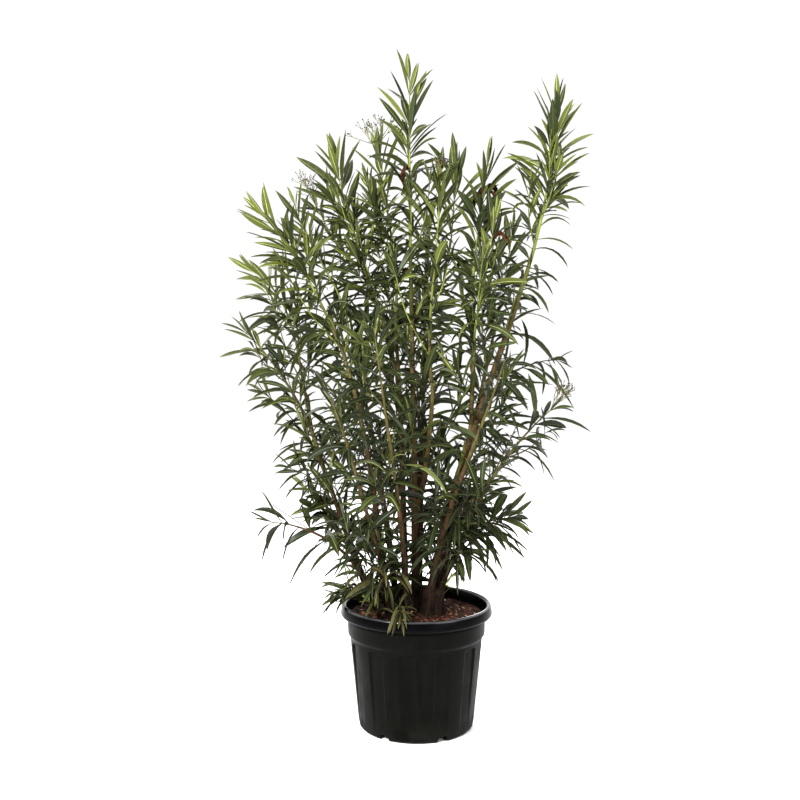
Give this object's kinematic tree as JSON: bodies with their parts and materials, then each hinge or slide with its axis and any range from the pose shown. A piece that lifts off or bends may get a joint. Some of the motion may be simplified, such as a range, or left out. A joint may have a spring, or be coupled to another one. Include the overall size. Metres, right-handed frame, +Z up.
{
  "type": "potted oleander",
  "caption": "Tall oleander shrub with forking brown stems and upright plumes of narrow leaves, growing in a round ribbed nursery pot of soil.",
  "frame": {"origin": "centre of the pot's flat underside", "axes": "+Z up along the pot's axis, +X towards the plant's right, -Y towards its front"},
  "size_m": [0.9166, 0.6739, 1.7416],
  "materials": {
    "pot": "black-green satin moulded plastic, glossier on the lip",
    "soil": "damp reddish-brown bark and coir compost, rough and matt",
    "bark": "smooth brown bark with fine cracks and pores, greener towards the tips",
    "leaves": "leathery mid-green leaves with a pale midrib and a dull grey-green underside"
  },
  "bodies": {
    "root": {"back_leaves": "leaves", "back_left_leaves": "leaves", "back_left_low_leaves": "leaves", "back_left_stem": "bark", "back_low_leaves": "leaves", "back_right_leaves": "leaves", "back_right_low_leaves": "leaves", "back_right_stem": "bark", "back_stem": "bark", "crest_leaves": "leaves", "crest_stem": "bark", "fork_bough": "bark", "fork_leaves": "leaves", "fork_tip_leaves": "leaves", "front_leaves": "leaves", "front_left_leaves": "leaves", "front_left_low_leaves": "leaves", "front_left_stem": "bark", "front_right_leaves": "leaves", "front_right_low_leaves": "leaves", "front_right_stem": "bark", "front_stem": "bark", "left_foot_leaves": "leaves", "left_high_in_leaves": "leaves", "left_high_leaves": "leaves", "left_high_stem": "bark", "left_leaves": "leaves", "left_low_leaves": "leaves", "left_outer_bough": "bark", "left_outer_leaves": "leaves", "left_skirt_leaves": "leaves", "left_stem": "bark", "left_tall_bough": "bark", "left_tall_leaves": "leaves", "left_tall_mid_leaves": "leaves", "low_left_leaves": "leaves", "low_left_stem": "bark", "low_right_leaves": "leaves", "low_right_stem": "bark", "mate_leaves": "leaves", "mate_low_leaves": "leaves", "mate_stem": "bark", "pot": "pot", "right_back_leaves": "leaves", "right_inner_bough": "bark", "right_inner_leaves": "leaves", "right_inner_tip_leaves": "leaves", "right_leaves": "leaves", "right_low_leaves": "leaves", "right_low_stem": "bark", "right_side_leaves": "leaves", "right_sleeve_leaves": "leaves", "right_stem": "bark", "rim_leaves": "leaves", "rim_stem": "bark", "soil": "soil", "stump": "bark"}
  },
  "joints": []
}
